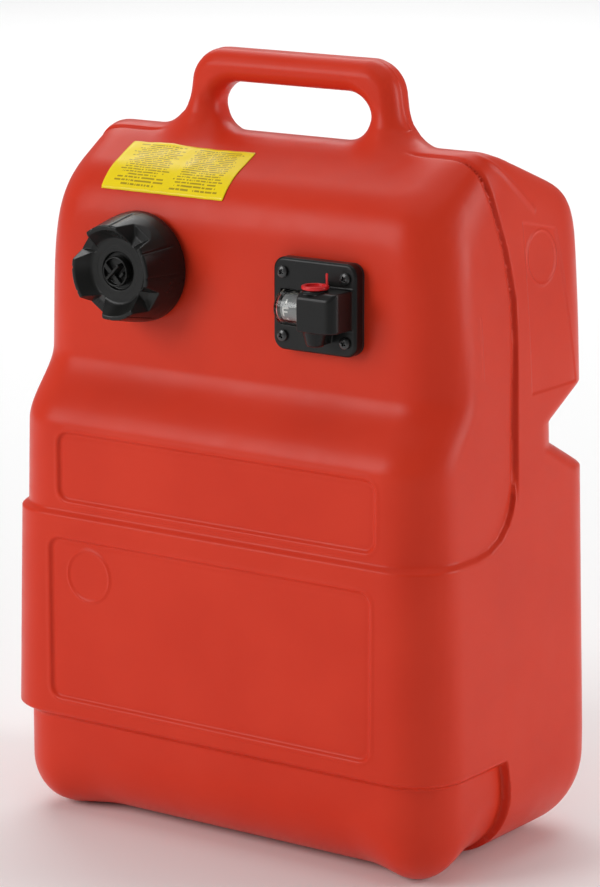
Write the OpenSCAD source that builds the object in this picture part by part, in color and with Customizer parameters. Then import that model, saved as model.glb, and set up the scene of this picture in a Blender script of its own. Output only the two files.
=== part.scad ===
// Portable fuel tank with carry handle, vented screw cap and float gauge.
// +Z up, front face towards -Y, origin in the middle of the face it stands on.

/* [Tank body] */
// Width of the body over the belt
tank_w = 351; // [300:1:400]
// Depth of the body over the belt
tank_d = 206; // [190:1:230]
// Wall of the blow moulding
wall = 4; // [3:0.5:5]
// Plan radius of the front corners
corner_front = 37; // [25:1:45]
// Plan radius of the rear corners
corner_rear = 38; // [25:1:45]
// Inward lean of the sides above the foot, mm per mm
side_taper = 0.03; // [0:0.005:0.05]

/* [Foot, belt and ledge] */
// Height where the inset foot ends
foot_z = 72; // [60:1:90]
// Inset of the foot behind the belt
foot_inset = 6; // [2:0.5:9]
// Height where the belt ends
belt_z = 212; // [190:1:230]
// Inset of the front above the belt
belt_inset = 3.2; // [1:0.1:6]
// Height of the step at a belt edge
step_h = 6; // [4:1:10]
// Height where the front starts to slope back
ledge_z = 269; // [255:1:280]
// Height of that slope
ledge_h = 46; // [35:1:55]
// Depth of that slope
ledge_inset = 24.8; // [15:0.1:30]
// Radius of the bottom edge all round
base_r = 56; // [45:1:60]
// Radius of the bottom edge at the two front corners
base_r_front = 36; // [28:1:45]

/* [Top] */
// Height of the top ridge's planes
top_z = 470; // [455:1:480]
// Slope of the front shoulder, degrees from upright
front_shoulder = 62.4; // [58:0.1:66]
// Slope of the rear shoulder, degrees from upright
rear_shoulder = 68.7; // [62:0.1:72]
// Slope of the side shoulders, degrees from upright
side_shoulder = 11.8; // [8:0.1:20]
// Inset of the top's edge from the line of the sides
top_inset = 9.06; // [4:0.01:20]

/* [Rear notch] */
// Height of the strap notch's middle
notch_z = 276; // [262:1:288]
// Half height of its floor
notch_half = 8; // [5:1:12]
// Height of each of its sloping sides
notch_slope = 20; // [14:1:26]
// Depth of the notch
notch_depth = 38; // [25:1:42]

/* [Handle] */
// Height of the handle's top
handle_z = 514; // [508:1:530]
// Thickness of the bar
bar_h = 21.7; // [18:0.1:24]
// Width of the bar, front to rear
bar_w = 28.8; // [24:0.1:32]
// Half width of the handle, to the middle of its legs
leg_x = 69.2; // [62:0.1:76]
// Lean of the legs, degrees
leg_lean = 7.8; // [4:0.1:12]
// Bend radius of the handle's middle line
bend_r = 11; // [9:0.5:16]

/* [Filler and cap] */
// Sideways place of the filler's axis
filler_x = -69; // [-80:1:-60]
// Height of the filler's axis
filler_z = 378.8; // [370:0.1:384]
// Bore radius of the neck
neck_bore_r = 23; // [20:0.1:23.4]
// Outer radius of the neck under its thread
neck_r = 26.6; // [25.8:0.1:26.8]
// Length of the neck in front of the tank's face
neck_l = 20; // [18:0.5:22]
// Pitch of the cap's thread
cap_pitch = 5; // [4.6:0.1:5.6]
// Height of the thread's ridge
thread_h = 1.8; // [1.4:0.1:1.8]
// Radius of the cap at its base
cap_r = 36; // [35:0.5:39]
// Radius of the cap at its front rim
cap_rim_r = 30.5; // [29:0.5:33]
// Height of the cap's front rim in front of the tank's face
cap_h = 37; // [35:0.5:40]
// Wall of the grip claws at the rim
claw_wall = 3; // [2.5:0.5:4]
// Angle that one claw takes at the rim
claw_angle = 52; // [40:1:60]
// Radius of the vent knob
vent_r = 9.8; // [8:0.1:11]
// Pitch of the vent knob's thread
vent_pitch = 2; // [1.5:0.1:2]

/* [Gauge and outlet] */
// Sideways place of the flange's middle
gauge_x = 72; // [66:1:78]
// Height of the flange's middle
gauge_z = 367.7; // [360:0.1:372]
// Width of the flange
flange_w = 63; // [62:1:68]
// Height of the flange
flange_h = 59; // [58:1:66]
// Thickness of the flange
flange_t = 8; // [7:0.5:9]
// Corner radius of the flange
flange_r = 8; // [5:0.5:9]
// Thickness of the flange's gasket
gasket_t = 2; // [1.5:0.5:3]
// Radius of the hole in the tank behind the flange
gauge_hole_r = 25; // [24.5:0.1:25.2]
// Screw spacing across
screw_dx = 47.5; // [47:0.1:49]
// Screw spacing up and down
screw_dz = 40.5; // [40:0.1:43]
// Shank radius of a flange screw
screw_r = 2; // [1.6:0.1:2.2]
// Head radius of a flange screw
screw_head_r = 3.75; // [3.4:0.05:4]
// Radius of the outlet bore
port_r = 5; // [4:0.1:5]
// Height of the outlet's mouth
port_top_z = 382; // [381:0.5:386]
// Outer radius of the lens
lens_r = 11; // [10.6:0.1:11.4]
// Wall of the lens
lens_wall = 1.5; // [1:0.1:1.6]
// Radius of the indicator drum
drum_r = 8.3; // [7.5:0.1:8.5]
// Teeth of each bevel gear
gear_teeth = 16; // [12:1:18]
// Pitch radius of each bevel gear
gear_r = 6.4; // [6:0.1:6.4]
// Face width of each bevel gear
gear_face = 2.5; // [1.5:0.1:3]
// Radius of the float arm's shaft
arm_shaft_r = 1.5; // [1.2:0.1:1.8]
// Radius of the drum's shaft
drum_shaft_r = 1.2; // [1:0.1:1.4]

/* [Float and pickup] */
// Length of the float arm
arm_l = 205; // [150:1:210]
// Radius of the arm's wire
wire_r = 1.2; // [1:0.1:1.5]
// Radius of the float
float_r = 18; // [14:0.5:20]
// Length of the float
float_l = 42; // [34:1:44]
// Outer radius of the pickup tube
tube_r = 5; // [4.6:0.1:5]
// Bore radius of the pickup tube
tube_bore_r = 3.4; // [2.5:0.1:3.6]
// Height of the strainer's foot above the floor the tank stands on
strainer_z = 15; // [15:1:24]
// Radius of the strainer
strainer_r = 8; // [7:0.5:9]
// Height of the strainer
strainer_h = 26; // [20:1:35]

/* [Label] */
// Width of the film on the front shoulder
label_w = 98; // [70:1:100]
// Height of the film along the slope
label_h = 40; // [30:1:42]
// Left edge of the film
label_x = -108.5; // [-110:0.5:-100]

/* [Hidden] */

red = "#cf3b26";
black = "#2b2b2b";
slip = 0.05;        // radial clearance of a shaft in its bearing
gap = 0.3;          // clearance between parts that must not touch
bury = 0.3;         // how far a moulded feature runs into what carries it
$fn = 64;

// Heights and places that follow from the sizes above
face_y = -tank_d / 2 + belt_inset + ledge_inset;   // front face above the ledge
part_y = -6;                                       // where the front half's inset ends
part_w = 8;
top_half_w = tank_w / 2 - side_taper * (top_z - foot_z) - top_inset;
front_ridge_y = 2.7;                               // front shoulder's plane meets top_z here
rear_ridge_y = -20.7;                              // rear shoulder's plane meets top_z here
ridge_soft = 8;
top_soft = 17;
front_corner_soft = 48;
shoulder_soft = 24.6;
corner_zone_x = tank_w / 2 - 75.5;                 // the front corners' own radii fade out
corner_zone_y = 33 - tank_d / 2;                   // over these places in the plan
corner_fade = 50;
top_fade = 90;

// ---- blends -----------------------------------------------------------------------------

function ease(t) = let (c = min(max(t, 0), 1)) c * c * (3 - 2 * c);
function hypot(a, b) = sqrt(a * a + b * b);
// Round edge of radius r where two half-spaces meet
function round_max(a, b, r) = min(max(a, b) + r, 0) + hypot(max(a + r, 0), max(b + r, 0)) - r;
// Soft edge that reaches over a difference of k
function soft_max(a, b, k) = let (h = max(k - abs(a - b), 0) / k) max(a, b) + h * h * k / 4;

// ---- outer form of the tank: negative inside, zero on the surface --------------------------

function slope(u, a, z) = u * cos(a) + (z - top_z) * sin(a);
function foot_in(z) = foot_inset * (1 - ease((z - foot_z) / step_h + 0.5));
function belt_in(z) = belt_inset * ease((z - belt_z) / step_h + 0.5);
function ledge_in(z) = ledge_inset * ease((z - ledge_z) / ledge_h);
function notch_in(z) =
    notch_depth * (1 - min(max((abs(z - notch_z) - notch_half) / notch_slope, 0), 1));
function half_w(z) = tank_w / 2 - side_taper * max(z - foot_z, 0);

function walls(ax, y, z) =
    let (inset = foot_in(z) + belt_in(z),
         front = inset + ledge_in(z) - tank_d / 2 - y,
         side = ax - half_w(z) + (1 - ease((y - part_y) / part_w)) * inset,
         rear = y - tank_d / 2 + notch_in(z))
    max(round_max(front, side, corner_front), round_max(rear, side, corner_rear));

function shoulders(ax, y, z) =
    let (ridge = soft_max(slope(front_ridge_y - y, front_shoulder, z),
                          slope(y - rear_ridge_y, rear_shoulder, z), ridge_soft),
         crown = soft_max(ridge, z - top_z, top_soft),
         side_soft = top_soft
             + (front_corner_soft - top_soft) * (1 - ease((y - corner_zone_y) / top_fade)))
    soft_max(crown, slope(ax - top_half_w, side_shoulder, z), side_soft);

function bottom_r(ax, y) =
    base_r - (base_r - base_r_front) * ease((ax - corner_zone_x) / corner_fade)
        * (1 - ease((y - corner_zone_y) / corner_fade));

function tank_form(p) =
    let (ax = abs(p.x))
    round_max(soft_max(walls(ax, p.y, p.z), shoulders(ax, p.y, p.z), shoulder_soft),
              -p.z, bottom_r(ax, p.y));

// ---- skin of the tank: rays from its inside to the surface ---------------------------------

low_z = foot_z - step_h;
high_z = top_z - 70;

// Point where the ray from o along d meets the form, inset by depth
function meet(o, d, depth, t0 = 0, t1 = 1.3, n = 17) =
    n == 0 ? round_point(o + d * (t0 + t1) / 2)
           : let (t = (t0 + t1) / 2)
             tank_form(o + d * t) + depth < 0 ? meet(o, d, depth, t, t1, n - 1)
                                              : meet(o, d, depth, t0, t, n - 1);
function round_point(p) = [for (v = p) round(v * 100) / 100];

function arc(cx, cy, r, from, n) =
    [for (i = [0:n]) let (a = from + 90 * i / n) [cx + r * cos(a), cy + r * sin(a)]];
function between(a, b, n) = [for (i = [1:n]) a + (b - a) * i / (n + 1)];
// Plan outline that the rays aim at, counter-clockwise from the middle of the right side
function outline(n, sides) =
    let (x = tank_w / 2, y = tank_d / 2, f = corner_front, r = corner_rear)
    concat([[x, part_y + part_w]],
           between([x, part_y + part_w], [x, y - r], sides), arc(x - r, y - r, r, 0, n),
           between([x - r, y], [r - x, y], 2 * sides), arc(r - x, y - r, r, 90, n),
           between([-x, y - r], [-x, part_y + part_w], sides),
           [[-x, part_y + part_w], [-x, part_y]],
           between([-x, part_y], [-x, f - y], sides), arc(f - x, f - y, f, 180, n),
           between([f - x, -y], [x - f, -y], 2 * sides), arc(x - f, f - y, f, 270, n),
           between([x, f - y], [x, part_y], sides), [[x, part_y]]);

function sorted(v) =
    len(v) < 2 ? v
    : let (m = v[floor(len(v) / 2)])
      concat(sorted([for (a = v) if (a < m) a]), [m], sorted([for (a = v) if (a > m) a]));
function spaced(v, least) =
    [for (i = [0:len(v) - 1]) if (i == 0 || v[i] - v[i - 1] >= least) v[i]];

function notch_levels() = concat(
    [for (s = [-1, 1]) notch_z + s * notch_half],
    [for (s = [-1, 1]) notch_z + s * (notch_half + notch_slope)]);
function outer_levels() = spaced(sorted(concat(
    [low_z, (foot_z + belt_z) / 2, high_z], notch_levels(),
    [for (s = [-0.5, 0, 0.5]) foot_z + s * step_h],
    [for (s = [-0.5, 0, 0.5]) belt_z + s * step_h],
    [for (s = [-0.5, 0.5]) notch_z + s * (2 * notch_half + notch_slope)],
    [for (s = [0, 0.25, 0.5, 0.75, 1]) ledge_z + s * ledge_h],
    [for (s = [0.33, 0.67]) ledge_z + ledge_h + s * (high_z - ledge_z - ledge_h)])), 1);
function inner_levels() = spaced(sorted(concat(
    [low_z, (foot_z + belt_z) / 2, belt_z, high_z], notch_levels(),
    [for (s = [0, 0.5, 1]) ledge_z + s * ledge_h])), 1);
outer_shares = [0.1, 0.28, 0.44, 0.58, 0.7, 0.8, 0.87, 0.92, 0.96, 1];
inner_shares = [0.1, 0.5, 0.75, 0.9, 1];

// Ray bundles from the bottom to the top: [origin height, share of the outline, target height]
function bundles(levels, shares) =
    let (n = len(shares), climbs = [for (i = [1:n / 2]) i / (n / 2 + 1)])
    concat([for (q = shares) if (q > 0.2) [low_z, q, 0]],
           [for (s = climbs) [low_z, 1, s * low_z]],
           [for (z = levels) [z, 1, z]],
           [for (s = climbs) [high_z, 1, high_z + s * (top_z - high_z)]],
           [for (i = [n - 1:-1:0]) [high_z, shares[i], top_z]]);

function tank_rings(depth, plan, levels, shares) =
    [for (b = bundles(levels, shares))
        let (o = [0, 0, b[0]])
        [for (p = plan) meet(o, [p.x * b[1], p.y * b[1], b[2]] - o, depth)]];

// Closed solid through rings that run counter-clockwise and climb
module skin(rings) {
    m = len(rings[0]);
    last = (len(rings) - 1) * m;
    walls = [for (i = [0:len(rings) - 2], j = [0:m - 1])
        let (a = i * m + j, b = i * m + (j + 1) % m)
        each [[a, a + m, b + m], [a, b + m, b]]];
    // ladder of triangles across a ring
    cap = concat([for (j = [0:m]) if (2 * j < m - 3) [j, j + 1, m - 2 - j]],
                 [for (j = [0:m]) if (2 * j < m - 2) [j, m - 2 - j, m - 1 - j]]);
    high_cap = [for (t = cap) [last + t[2], last + t[1], last + t[0]]];
    polyhedron(points = [for (r = rings) each r], faces = concat(walls, cap, high_cap));
}

// ---- frames of reference -------------------------------------------------------------------

// Local +Z points out of the front face, from the face itself
module on_face(x, z) {
    translate([x, face_y, z]) rotate([90, 0, 0]) children();
}
module at_filler() { on_face(filler_x, filler_z) children(); }
module at_gauge() { on_face(gauge_x, gauge_z) children(); }
module at_screws() {
    for (x = [-0.5, 0.5], y = [-0.5, 0.5]) translate([x * screw_dx, y * screw_dz, 0]) children();
}
module rod(p, q, r) {
    d = q - p;
    translate(p) rotate([0, acos(d.z / norm(d)), atan2(d.y, d.x)])
        cylinder(r = r, h = norm(d));
}
module ring(r_out, r_in, h) {
    difference() {
        cylinder(r = r_out, h = h);
        translate([0, 0, -1]) cylinder(r = r_in, h = h + 2);
    }
}
module plate(w, h, r, t) {
    linear_extrude(t) union() {
        square([w - 2 * r, h], center = true);
        square([w, h - 2 * r], center = true);
        for (x = [-1, 1], y = [-1, 1]) translate([x * (w / 2 - r), y * (h / 2 - r)]) circle(r);
    }
}

// ---- tank ----------------------------------------------------------------------------------

bar_z = handle_z - bar_h / 2;
foot_top = top_z - 9;          // where the legs meet the top
// Legs as [height, share of the bar's section]
leg_stations = [[foot_top - 26, 2.3], [foot_top - 10, 1.9], [foot_top + 1, 1.5],
                [foot_top + 10, 1.22], [foot_top + 19, 1.06]];

// One section of the handle, as a thin slice across its middle line
module handle_slice(x, z, turn, share) {
    half = bar_w / 2 - bar_h / 2;
    translate([x, 0, z]) rotate([0, turn, 0]) linear_extrude(0.02)
        scale(share) union() {
            square([bar_h, 2 * half], center = true);
            for (s = [-1, 1]) translate([0, s * half]) circle(bar_h / 2, $fn = 20);
        }
}

// Middle line from the right foot over the bar to its middle
function leg_at(z) = leg_x + (bar_z - z) * tan(leg_lean);
bend_z = bar_z - bend_r;
bend_x = leg_at(bend_z) - bend_r / cos(leg_lean);
handle_line = concat(
    [for (s = leg_stations) [leg_at(s[0]), s[0], -leg_lean, s[1]]],
    [for (i = [0:4]) let (a = leg_lean + (90 - leg_lean) * i / 4)
        [bend_x + bend_r * cos(a), bend_z + bend_r * sin(a), -a, 1]],
    [[0, bar_z, -90, 1]]);

module handle_half() {
    for (i = [0:len(handle_line) - 2]) hull() {
        a = handle_line[i];
        b = handle_line[i + 1];
        handle_slice(a[0], a[1], a[2], a[3]);
        handle_slice(b[0], b[1], b[2], b[3]);
    }
}

boss_r = 5;
boss_l = 8;
module screw_bosses() {
    at_gauge() at_screws() hull() {
        translate([0, 0, -wall - boss_l]) cylinder(r = boss_r - 1, h = 1, $fn = 24);
        translate([0, 0, -wall]) cylinder(r = boss_r, h = wall - 1, $fn = 24);
    }
}

screw_clear = 0.1;
module tank_shell() {
    color(red) difference() {
        union() {
            difference() {
                union() {
                    skin(tank_rings(0, outline(6, 4), outer_levels(), outer_shares));
                    handle_half();
                    mirror([1, 0, 0]) handle_half();
                }
                skin(tank_rings(wall, outline(3, 2), inner_levels(), inner_shares));
            }
            screw_bosses();
        }
        at_filler() translate([0, 0, -wall - 6]) cylinder(r = neck_r, h = wall + 12);
        at_gauge() translate([0, 0, -wall - 6]) cylinder(r = gauge_hole_r, h = wall + 12);
        at_gauge() at_screws() translate([0, 0, -wall - boss_l + 2])
            cylinder(r = screw_r + screw_clear, h = wall + boss_l, $fn = 32);
    }
}

// ---- threads -------------------------------------------------------------------------------

thread_w = 2.2;        // ridge's width at its root
thread_crest = 1;      // ridge's width at its crest
thread_steps = 36;     // steps in one turn

// Helical ridge; out = 1 stands outwards from radius r, out = -1 inwards
module thread(r, height, out, pitch, z0, turns) {
    n = round(turns * thread_steps);
    rings = [for (i = [0:n])
        let (a = 360 * i / thread_steps, z = z0 + pitch * i / thread_steps,
             fade = min(1, i / 6 + 0.05, (n - i) / 6 + 0.05),
             root = r - out * bury, crest = r + out * height * fade,
             flank = [[root, -thread_w / 2], [root, thread_w / 2],
                      [crest, thread_crest / 2], [crest, -thread_crest / 2]])
        [for (k = [0:3]) let (q = flank[out > 0 ? k : 3 - k])
            [q[0] * cos(a), q[0] * sin(a), z + q[1]]]];
    skin(rings);
}

// ---- filler neck ---------------------------------------------------------------------------

thread_z0 = 7;
thread_turns = 2;
module filler_neck() {
    color(red) at_filler() union() {
        difference() {
            union() {
                translate([0, 0, -wall]) cylinder(r = neck_r, h = wall + neck_l);
                translate([0, 0, 0]) cylinder(r = neck_r + 2.6, h = 1.2);
            }
            translate([0, 0, -wall - 1]) cylinder(r = neck_bore_r, h = wall + neck_l + 2);
        }
        thread(neck_r, thread_h, 1, cap_pitch, thread_z0, thread_turns);
    }
}

// ---- cap -----------------------------------------------------------------------------------

core_bore_r = neck_r + thread_h + 0.6;
core_r = core_bore_r + 2;
core_z0 = 4;
seat_z = neck_l;                 // the gasket lies on the neck's mouth
seal_t = 1.5;
core_top = seat_z + seal_t;      // inside of the liner's end
core_end = core_top + 2;         // outside of the liner's end
grip_z0 = 3;
dish_z = core_end + 4.3;         // floor of the recess inside the claws
vent_stem_r = 3;
vent_bore_r = vent_stem_r + 0.08;
well_r = vent_r + 2.6;
well_z = core_end + 1.5;
vent_seal_t = 1.5;

module cap_gasket() {
    color("#3a3a3a") at_filler() translate([0, 0, seat_z])
        ring(core_bore_r - 0.8, neck_bore_r - 0.8, seal_t);
}

module cap_core() {
    color(black) at_filler() union() {
        difference() {
            translate([0, 0, core_z0]) cylinder(r = core_r, h = core_end - core_z0);
            translate([0, 0, core_z0 - 1]) cylinder(r = core_bore_r, h = core_top - core_z0 + 1);
            cylinder(r = vent_bore_r, h = core_end + 1);
        }
        thread(core_bore_r, thread_h + 0.1, -1, cap_pitch, thread_z0 + cap_pitch / 2,
               thread_turns - 0.4);
    }
}

claws = 4;
claw_foot = dish_z + 0.6;
// Wedge between two claws, cut down to the dish
module claw_gap(turn) {
    span = 360 / claws - claw_angle;
    rotate(turn) translate([0, 0, claw_foot]) linear_extrude(cap_h)
        polygon([[20, 0], [60, -60 * tan(span / 2) - 3], [60, 60 * tan(span / 2) + 3]]);
}

module grip_outline() {
    rotate_extrude() polygon([
        [core_r + slip, grip_z0], [cap_r - 0.8, grip_z0], [cap_r, grip_z0 + 1.2],
        [cap_r - 0.1, grip_z0 + 5], [cap_r - 1, grip_z0 + 12],
        [cap_r - 2.6, grip_z0 + 20], [cap_rim_r + 0.9, cap_h - 4],
        [cap_rim_r, cap_h - 0.8], [cap_rim_r - 0.8, cap_h],
        [cap_rim_r - claw_wall + 0.8, cap_h], [cap_rim_r - claw_wall, cap_h - 0.8],
        [cap_rim_r - claw_wall - 1.2, dish_z + 0.6], [24, dish_z],
        [18.6, dish_z], [18, dish_z - 0.7], [well_r + 2.4, dish_z - 0.7],
        [well_r + 2, dish_z], [well_r, dish_z], [well_r, well_z], [vent_bore_r, well_z],
        [vent_bore_r, core_end], [core_r + slip, core_end]]);
}

claw_turn = 51;      // where the first gap lies, from the cap's right
module cap_grip() {
    color(black) at_filler() difference() {
        grip_outline();
        for (i = [0:claws - 1]) claw_gap(claw_turn + 360 * i / claws);
    }
}

vent_z0 = well_z + vent_seal_t;
vent_h = 7.2;
module vent_seal() {
    color("#3a3a3a") at_filler() translate([0, 0, well_z])
        ring(vent_r - 1.8, vent_stem_r + 0.5, vent_seal_t);
}

module vent_knob() {
    color(black) at_filler() union() {
        translate([0, 0, core_top - 0.6])
            cylinder(r = vent_stem_r, h = vent_z0 - core_top + 1.6);
        rotate_extrude() polygon([
            [0, vent_z0], [vent_r - 0.6, vent_z0], [vent_r, vent_z0 + 0.6],
            [vent_r, vent_z0 + vent_h - 1], [vent_r - 1, vent_z0 + vent_h],
            [vent_r - 2, vent_z0 + vent_h], [vent_r - 2.6, vent_z0 + vent_h - 1.6],
            [0, vent_z0 + vent_h - 1.6]]);
        rotate(45) translate([-vent_r + 2.2, -0.9, vent_z0 + 1])
            cube([2 * vent_r - 4.4, 1.8, vent_h + 0.6]);
        rotate(45) translate([0.9, -vent_r + 3, vent_z0 + 1])
            cube([1.8, 2 * vent_r - 6, vent_h - 0.8]);
    }
}

// ---- gauge and outlet: heights above the face ------------------------------------------------

flange_back = gasket_t;
flange_top = gasket_t + flange_t;
drum_axis_z = -2;                      // drum's height over the flange's middle
drum_h = flange_top - 1;               // drum's axis in front of the face
gear_apex_x = 5;                       // where the two gear axes cross
window_x0 = -25.5;
window_x1 = -1;
window_r = lens_r + gap;
pocket_x1 = gear_apex_x + gear_r + 1.1;
house_x0 = 1.5;
house_x1 = 29;
house_z0 = -11.7;
house_z1 = port_top_z - 1 - gauge_z;
house_h = flange_top + 22;
house_r = 5;                           // radius of its upright edges
port_x = 10;
port_h = flange_top + 13;
collar_r = 8;                          // collar round the outlet's mouth
column_r = 8.9;                        // column under the block, at its top
column_tip_r = 5.2;
column_l = 11.5;
duct_z = -16.2;                        // duct behind the outlet bore
duct_r = 3.5;
frame_r = gauge_hole_r - 0.6;
rebate = 3.5;                          // rebate for the lens's lip in the flange's back
lip = 3;
spigot_r = 4;
spigot_l = 9;

module flange_gasket() {
    color("#3a3a3a") at_gauge() difference() {
        plate(flange_w - 1, flange_h - 1, flange_r - 0.5, gasket_t);
        translate([0, 0, -1]) cylinder(r = gauge_hole_r, h = gasket_t + 2);
        translate([0, 0, -1]) at_screws() cylinder(r = screw_r + 0.4, h = gasket_t + 2);
    }
}

// Block over the flange, with rounded upright edges and a tapered foot under the outlet bore
module outlet_block() {
    r = house_r;
    d = house_h - flange_top + bury;
    mouth_z = port_top_z - gauge_z;
    translate([0, 0, flange_top - bury]) union() {
        translate([house_x0, house_z0, 0]) cube([house_x1 - house_x0, house_z1 - house_z0, d - r]);
        translate([house_x0 + r, house_z0, d - r - 1])
            cube([house_x1 - house_x0 - 2 * r, house_z1 - house_z0, r + 1]);
        for (x = [house_x0 + r, house_x1 - r]) translate([x, house_z0, d - r])
            rotate([-90, 0, 0]) cylinder(r = r, h = house_z1 - house_z0);
    }
    translate([port_x, 0, port_h]) rotate([-90, 0, 0]) union() {
        translate([0, 0, house_z1 - 1]) cylinder(r = collar_r, h = mouth_z - house_z1 + 1);
        translate([0, 0, house_z0 + bury - column_l])
            cylinder(r1 = column_tip_r, r2 = column_r, h = column_l);
    }
    web = 2 * (column_tip_r - 0.2);
    translate([port_x - web / 2, house_z0 - column_l + 1.5, flange_top - bury])
        cube([web, column_l - 0.5, port_h - flange_top + bury]);
}

module gauge_housing() {
    color(black) at_gauge() difference() {
        union() {
            translate([0, 0, flange_back]) plate(flange_w, flange_h, flange_r, flange_t - 0.8);
            translate([0, 0, flange_back + flange_t - 0.8])
                plate(flange_w - 1.6, flange_h - 1.6, flange_r - 0.8, 0.8);
            outlet_block();
            translate([port_x, duct_z, flange_back - spigot_l]) cylinder(r = spigot_r, h = spigot_l + 1);
        }
        translate([0, 0, 0]) at_screws() cylinder(r = screw_r + 0.2, h = flange_top + 1);
        // window for the lens, and the rebate for its lip
        translate([window_x0, drum_axis_z - window_r, 0])
            cube([window_x1 - window_x0, 2 * window_r, flange_top + 1]);
        translate([window_x0 - lip, drum_axis_z - window_r - lip, 0])
            cube([window_x1 - window_x0 + lip + 1, 2 * (window_r + lip), flange_back + rebate]);
        // pocket for the gears
        translate([window_x1 - 1, drum_axis_z - gear_r - 1.2, 0])
            cube([pocket_x1 - window_x1 + 1, 2 * gear_r + 2.4, drum_h + gear_r + 1.1]);
        // outlet bore and the duct behind it
        translate([port_x, 0, port_h]) rotate([-90, 0, 0])
            translate([0, 0, duct_z - duct_r]) cylinder(r = port_r, h = 60);
        translate([port_x, duct_z, flange_back - spigot_l - 1])
            cylinder(r = duct_r - 0.8, h = port_h - flange_back + spigot_l + 1);
    }
}

module flange_screws() {
    color("#1f1f1f") at_gauge() at_screws() difference() {
        union() {
            translate([0, 0, -wall - boss_l + 3])
                cylinder(r = screw_r, h = flange_top + wall + boss_l - 2.9);
            translate([0, 0, flange_top]) rotate_extrude() polygon([
                [0, 0], [screw_head_r, 0], [screw_head_r, 0.9], [screw_head_r - 0.5, 1.8],
                [screw_head_r - 1.5, 2.4], [0, 2.7]]);
        }
        for (a = [30, 120]) rotate(a) translate([-2.2, -0.5, flange_top + 1.1])
            cube([4.4, 1, 3]);
    }
}

lens_x0 = window_x0 + gap;
lens_x1 = window_x1 - gap;
lens_back = flange_back + rebate - 2.5;
module lens_form(r, x0, x1) {
    translate([x0, drum_axis_z, drum_h]) rotate([0, 90, 0])
        rotate_extrude(angle = 360) square([r, x1 - x0]);
}
module gauge_lens() {
    w = lens_x1 - lens_x0;
    color([0.85, 0.9, 0.9, 0.35]) at_gauge() difference() {
        union() {
            intersection() {
                lens_form(lens_r, lens_x0, lens_x1);
                translate([lens_x0 - 1, -30, drum_h]) cube([w + 2, 60, 30]);
            }
            translate([lens_x0, drum_axis_z - lens_r, lens_back])
                cube([w, 2 * lens_r, drum_h - lens_back]);
            translate([lens_x0 - lip + 0.4, drum_axis_z - lens_r - lip + 0.4, lens_back])
                cube([w + lip - 0.4, 2 * (lens_r + lip - 0.4), 1.5]);
            translate([lens_x0 + 4, drum_axis_z + lens_r - 0.6, flange_top + 1.5 + gap])
                sphere(1.5, $fn = 24);
        }
        intersection() {
            lens_form(lens_r - lens_wall, lens_x0 + lens_wall, lens_x1 + 1);
            translate([lens_x0 - 1, -30, drum_h - 0.01]) cube([w + 3, 60, 30]);
        }
        translate([lens_x0 + lens_wall, drum_axis_z - lens_r + lens_wall, lens_back - 1])
            cube([w, 2 * (lens_r - lens_wall), drum_h - lens_back + 1.01]);
    }
}

module lens_seal() {
    w = window_x1 - window_x0;
    color("#3a3a3a") at_gauge() translate([0, 0, lens_back + 1.5]) difference() {
        translate([window_x0 - lip + 0.5, drum_axis_z - window_r - lip + 0.5, 0])
            cube([w + lip - 0.5, 2 * (window_r + lip - 0.5), 1]);
        translate([window_x0 - 0.1, drum_axis_z - window_r - 0.1, -1])
            cube([w + 1, 2 * window_r + 0.2, 3]);
    }
}

// ---- gauge works ---------------------------------------------------------------------------

drum_x0 = window_x0 + 5;
drum_l = 15.5;
lug_t = 1.8;
lug_x = [window_x0 + 2.6, drum_x0 + drum_l + 0.5];
gear_back_x = gear_apex_x - gear_r;      // large end of the drum's gear
gear_back_h = drum_h - gear_r;           // large end of the arm's gear
frame_t = 3;
frame_h0 = flange_back - frame_t;        // rear of the frame's plate
tube_h = flange_back - spigot_l - 4;     // the dip tube's plane
arm_h = tube_h - tube_r - wire_r - 2;    // the arm's plane, behind the tube
hub_r = 4;
hub_t = 3.6;
arm_boss_l = frame_h0 - arm_h - hub_t / 2 - 0.7;
module gauge_frame() {
    color("#e8e4da") at_gauge() difference() {
        union() {
            translate([0, 0, frame_h0]) cylinder(r = frame_r, h = frame_t);
            translate([gear_apex_x, drum_axis_z, frame_h0 - arm_boss_l])
                cylinder(r = hub_r, h = arm_boss_l + 1);
            for (x = lug_x) translate([x, drum_axis_z - 4, frame_h0 + 1])
                cube([lug_t, 8, drum_h - frame_h0 + 2]);
        }
        // room for the drum and its gear
        translate([drum_x0 - 0.5, drum_axis_z - 7.5, frame_h0 - 1])
            cube([drum_l + 1, 15, frame_t + 2]);
        translate([gear_apex_x, drum_axis_z, gear_back_h - 1.2])
            cylinder(r = gear_r + 1.3, h = 20);
        translate([gear_apex_x, drum_axis_z, frame_h0 - arm_boss_l - 1])
            cylinder(r = arm_shaft_r + slip, h = 40);
        translate([window_x0, drum_axis_z, drum_h]) rotate([0, 90, 0])
            cylinder(r = drum_shaft_r + slip, h = 40);
        translate([port_x, duct_z, frame_h0 - 1]) cylinder(r = spigot_r + 0.1, h = frame_t + 2);
        at_screws() translate([0, 0, frame_h0 - 1]) cylinder(r = boss_r + 0.4, h = frame_t + 2);
    }
}

module drum_shaft() {
    color("#c9ccd0") at_gauge() translate([window_x0 + 2, drum_axis_z, drum_h])
        rotate([0, 90, 0]) cylinder(r = drum_shaft_r, h = gear_back_x - window_x0 + 1.2);
}

module gauge_drum() {
    color("#8f9193") at_gauge() translate([drum_x0, drum_axis_z, drum_h]) rotate([0, 90, 0])
        difference() {
            cylinder(r = drum_r, h = drum_l);
            translate([0, 0, -1]) cylinder(r = drum_shaft_r, h = drum_l + 2);
            translate([0, 0, -1]) ring(drum_r - 1.5, drum_shaft_r + 1.5, drum_l - 0.5);
        }
}

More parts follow.
